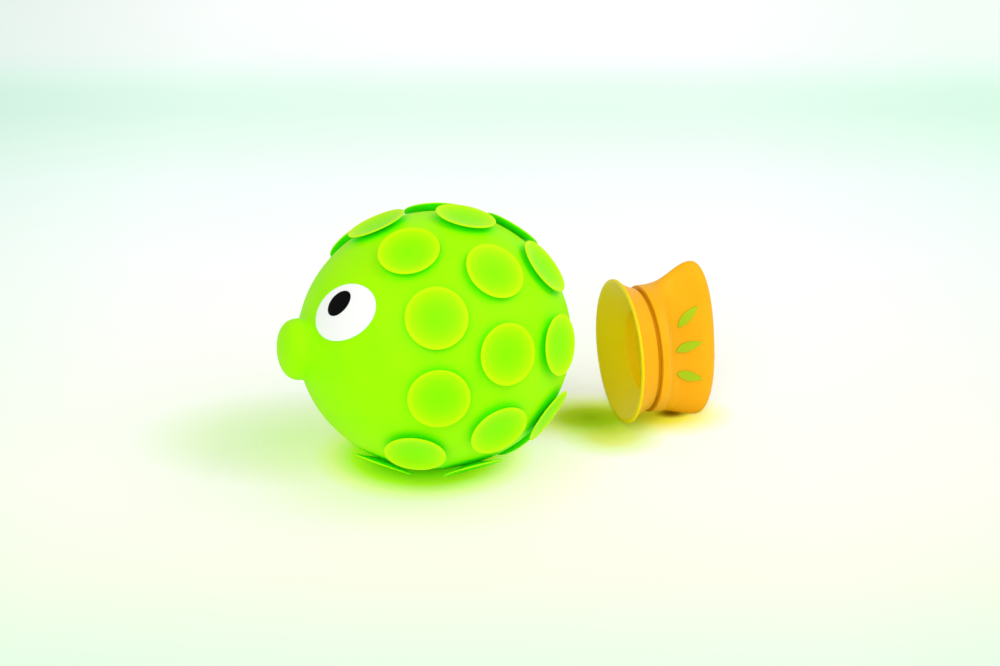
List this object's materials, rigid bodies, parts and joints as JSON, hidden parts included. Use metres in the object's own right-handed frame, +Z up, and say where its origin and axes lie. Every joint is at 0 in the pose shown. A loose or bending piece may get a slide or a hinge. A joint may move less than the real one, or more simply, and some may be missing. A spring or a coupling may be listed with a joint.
{
  "type": "bath toy",
  "caption": "Hollow round fish-shaped squeaky bath toy with suction cups around its body, and a fish tail taken off and lying behind it, whose flared cup fits onto the ball",
  "frame": {"origin": "on the floor, below the middle of the whole toy's box", "axes": "+X runs along the toy from the mouth to the tail, +Z is up, and +Y points away from the side that the picture shows"},
  "size_m": [0.148, 0.0848, 0.0842],
  "materials": {
    "skin": "smooth, softly glossy lime-green vinyl",
    "sucker": "smooth, slightly see-through yellow-green vinyl",
    "eye_white": "smooth white, flush on the skin",
    "pupil": "smooth black",
    "squeaker": "plain white moulded plastic",
    "reed": "thin stiff strip",
    "tail": "smooth, satin orange vinyl",
    "lining": "smooth, satin yellow vinyl",
    "leaf": "smooth green vinyl, slightly raised"
  },
  "bodies": {
    "root": {"body_skin": "skin", "sucker_front_1": "sucker", "sucker_front_2": "sucker", "sucker_front_3": "sucker", "sucker_front_4": "sucker", "sucker_front_5": "sucker", "sucker_front_6": "sucker", "sucker_front_7": "sucker", "sucker_front_8": "sucker", "sucker_front_9": "sucker", "sucker_front_10": "sucker", "sucker_middle_1": "sucker", "sucker_middle_2": "sucker", "sucker_middle_3": "sucker", "sucker_middle_4": "sucker", "sucker_middle_5": "sucker", "sucker_middle_6": "sucker", "sucker_middle_7": "sucker", "sucker_middle_8": "sucker", "sucker_middle_9": "sucker", "sucker_middle_10": "sucker", "sucker_back_1": "sucker", "sucker_back_2": "sucker", "sucker_back_3": "sucker", "sucker_back_4": "sucker", "sucker_back_5": "sucker", "sucker_back_6": "sucker", "sucker_back_7": "sucker", "sucker_back_8": "sucker", "eye_white_near": "eye_white", "eye_white_far": "eye_white", "pupil_near": "pupil", "pupil_far": "pupil", "squeaker_barrel": "squeaker", "squeaker_cap": "squeaker"},
    "tail": {"tail_fin": "tail", "tail_skirt": "tail", "tail_lining": "lining", "fin_mark_near_1": "leaf", "fin_mark_near_2": "leaf", "fin_mark_near_3": "leaf", "fin_mark_far_1": "leaf", "fin_mark_far_2": "leaf", "fin_mark_far_3": "leaf"},
    "reed": {"squeaker_reed": "reed"}
  },
  "joints": [
    {"name": "tail_on", "type": "hinge", "parent": "root", "child": "tail", "pos_m": [0.07415, -0.15736, 0.11683], "axis": [0.3572, 0.5282, 0.7703], "range_deg": [0, 9.84]},
    {"name": "reed_bend", "type": "hinge", "parent": "root", "child": "reed", "pos_m": [0.01129, -0.00105, 0.03448], "axis": [-0.0352, 0.9511, -0.307], "range_deg": [-3, 6]}
  ]
}
